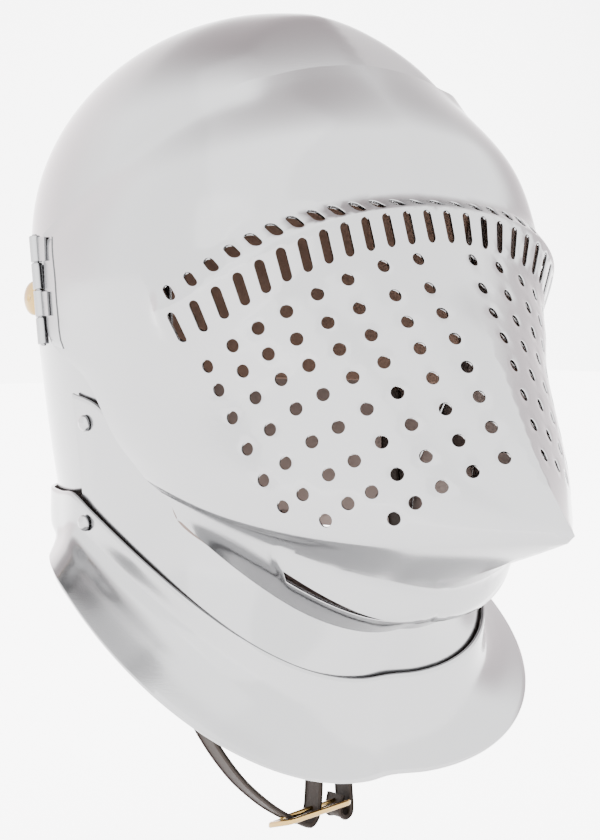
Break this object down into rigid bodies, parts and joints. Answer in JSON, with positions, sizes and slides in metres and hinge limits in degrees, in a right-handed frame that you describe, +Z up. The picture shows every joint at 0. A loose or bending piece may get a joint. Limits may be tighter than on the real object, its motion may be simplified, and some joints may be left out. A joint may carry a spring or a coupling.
{
  "type": "visored bascinet helmet",
  "caption": "Closed steel helmet with a domed skull, a beaked pierced visor on side pivots, a chin plate, a flared neck collar, a leather lining and a buckled chin strap.",
  "frame": {"origin": "where the crown of the wearer's head meets the lining, on the helmet's middle plane", "axes": "+Z up, the wearer looks along -Y, +X to the wearer's left"},
  "size_m": [0.246, 0.3481, 0.4066],
  "materials": {
    "steel": "satin polished plate",
    "hinge_steel": "satin",
    "brass": "satin",
    "lining_leather": "matte brown",
    "strap_leather": "dark, slight sheen"
  },
  "bodies": {
    "helmet": {"skull": "steel", "bevor": "steel", "collar": "steel", "lining": "lining_leather", "pivot_rivet_right": "brass", "pivot_rivet_left": "brass", "cheek_rivet_right": "steel", "cheek_rivet_left": "steel", "collar_rivet_right": "steel", "collar_rivet_left": "steel", "chin_strap_right": "strap_leather", "chin_strap_left": "strap_leather", "strap_buckle": "brass"},
    "visor": {"visor": "steel", "hinge_front_right": "hinge_steel", "hinge_front_left": "hinge_steel", "hinge_rear_right": "hinge_steel", "hinge_rear_left": "hinge_steel", "hinge_pin_right": "hinge_steel", "hinge_pin_left": "hinge_steel"}
  },
  "joints": [
    {"name": "visor_pivot", "type": "hinge", "parent": "helmet", "child": "visor", "pos_m": [0, 0.0625, -0.13625], "axis": [-1, 0, 0], "range_deg": [0, 60]}
  ]
}
